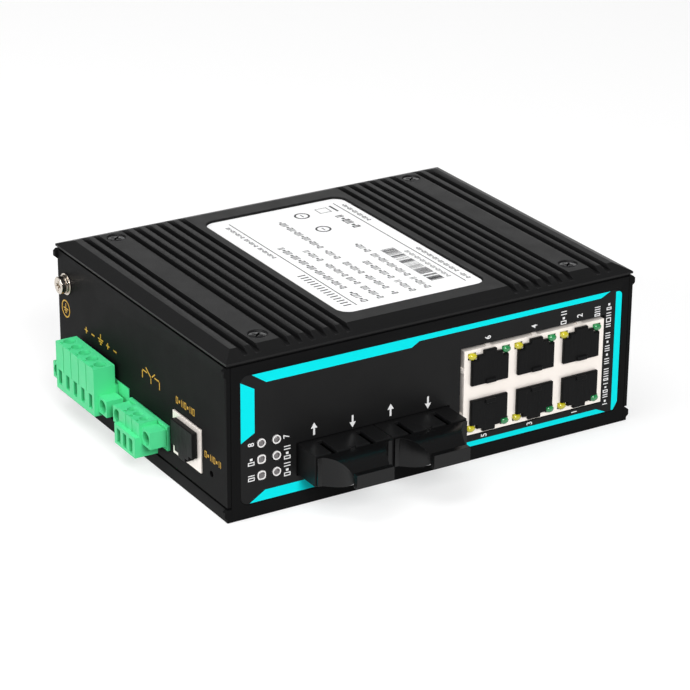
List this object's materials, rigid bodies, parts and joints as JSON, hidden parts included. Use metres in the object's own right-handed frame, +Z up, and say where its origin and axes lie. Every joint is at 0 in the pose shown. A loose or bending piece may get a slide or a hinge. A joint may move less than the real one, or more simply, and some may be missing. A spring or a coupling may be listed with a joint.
{
  "type": "din rail ethernet switch",
  "caption": "Black metal-cased DIN-rail ethernet switch with a ribbed cover, copper and fibre ports under dust covers, and green screw terminals at one end.",
  "frame": {"origin": "centre of the housing's resting face, the broad plain side", "axes": "+Z up out of the ribbed cover, -Y out of the port panel, -X out of the terminal side; the rail runs along Z behind +Y"},
  "size_m": [0.1473, 0.1342, 0.0504],
  "materials": {
    "case_black": "fine satin powder coat",
    "film_black": "matt printed film",
    "label_white": "matt polyester",
    "screw_black": "black zinc",
    "nickel_steel": "bright nickel plate",
    "zinc_steel": "zinc plate",
    "spring_steel": "cold rolled",
    "board_green": "solder mask",
    "shell_tin": "tin plate, satin",
    "plastic_black": "moulded",
    "gold_contact": "gold flash",
    "tinned_pin": "tinned",
    "light_yellow": "clear tinted",
    "light_green": "clear tinted",
    "light_clear": "diffuse clear",
    "rubber_black": "moulded satin",
    "ferrule_white": "ground",
    "terminal_green": "moulded satin",
    "chip_black": "moulded epoxy",
    "relay_white": "moulded",
    "can_black": "sleeved can",
    "rail_zinc": "black coat"
  },
  "bodies": {
    "switch_body": {"top_cover": "case_black", "bottom_cover": "case_black", "chassis_frame": "case_black", "front_panel": "case_black", "front_overlay": "film_black", "rating_label": "label_white", "top_cover_screws": "screw_black", "bottom_cover_screws": "screw_black", "main_board": "board_green", "board_posts": "zinc_steel", "board_screws": "zinc_steel", "port_block_shield": "shell_tin", "port_block_body": "plastic_black", "port_contacts": "gold_contact", "port_lights_yellow": "light_yellow", "port_lights_green": "light_green", "port_1_dust_plug": "rubber_black", "port_2_dust_plug": "rubber_black", "port_3_dust_plug": "rubber_black", "port_4_dust_plug": "rubber_black", "port_5_dust_plug": "rubber_black", "port_6_dust_plug": "rubber_black", "fibre_transceiver_1": "plastic_black", "fibre_sleeves_1": "ferrule_white", "fibre_cap_1": "rubber_black", "fibre_transceiver_2": "plastic_black", "fibre_sleeves_2": "ferrule_white", "fibre_cap_2": "rubber_black", "power_header": "terminal_green", "power_pins": "tinned_pin", "power_plug": "terminal_green", "power_clamp_cages": "zinc_steel", "power_clamp_screws": "zinc_steel", "power_flange_screws": "zinc_steel", "alarm_header": "terminal_green", "alarm_pins": "tinned_pin", "alarm_plug": "terminal_green", "alarm_clamp_cages": "zinc_steel", "alarm_clamp_screws": "zinc_steel", "alarm_flange_screws": "zinc_steel", "console_jack_shield": "shell_tin", "console_jack_body": "plastic_black", "console_contacts": "gold_contact", "console_dust_plug": "rubber_black", "reload_switch_body": "plastic_black", "status_light_holders": "plastic_black", "status_light_lenses": "light_clear", "switch_chip": "chip_black", "power_converter": "chip_black", "alarm_relay": "relay_white", "board_capacitors": "can_black", "isolation_transformers": "chip_black", "ground_flat_washer": "nickel_steel", "ground_spring_washer": "nickel_steel", "ground_clinch_nut": "zinc_steel", "ground_screw": "nickel_steel", "rail_plate": "rail_zinc", "rail_spring": "spring_steel", "rail_plate_screws": "zinc_steel"},
    "reload_plunger": {"reload_button": "plastic_black"}
  },
  "joints": [
    {"name": "reload_press", "type": "slide", "parent": "switch_body", "child": "reload_plunger", "axis": [1, 0, 0], "range_m": [0, 0.00025], "stiffness_N_per_m": 4000}
  ]
}
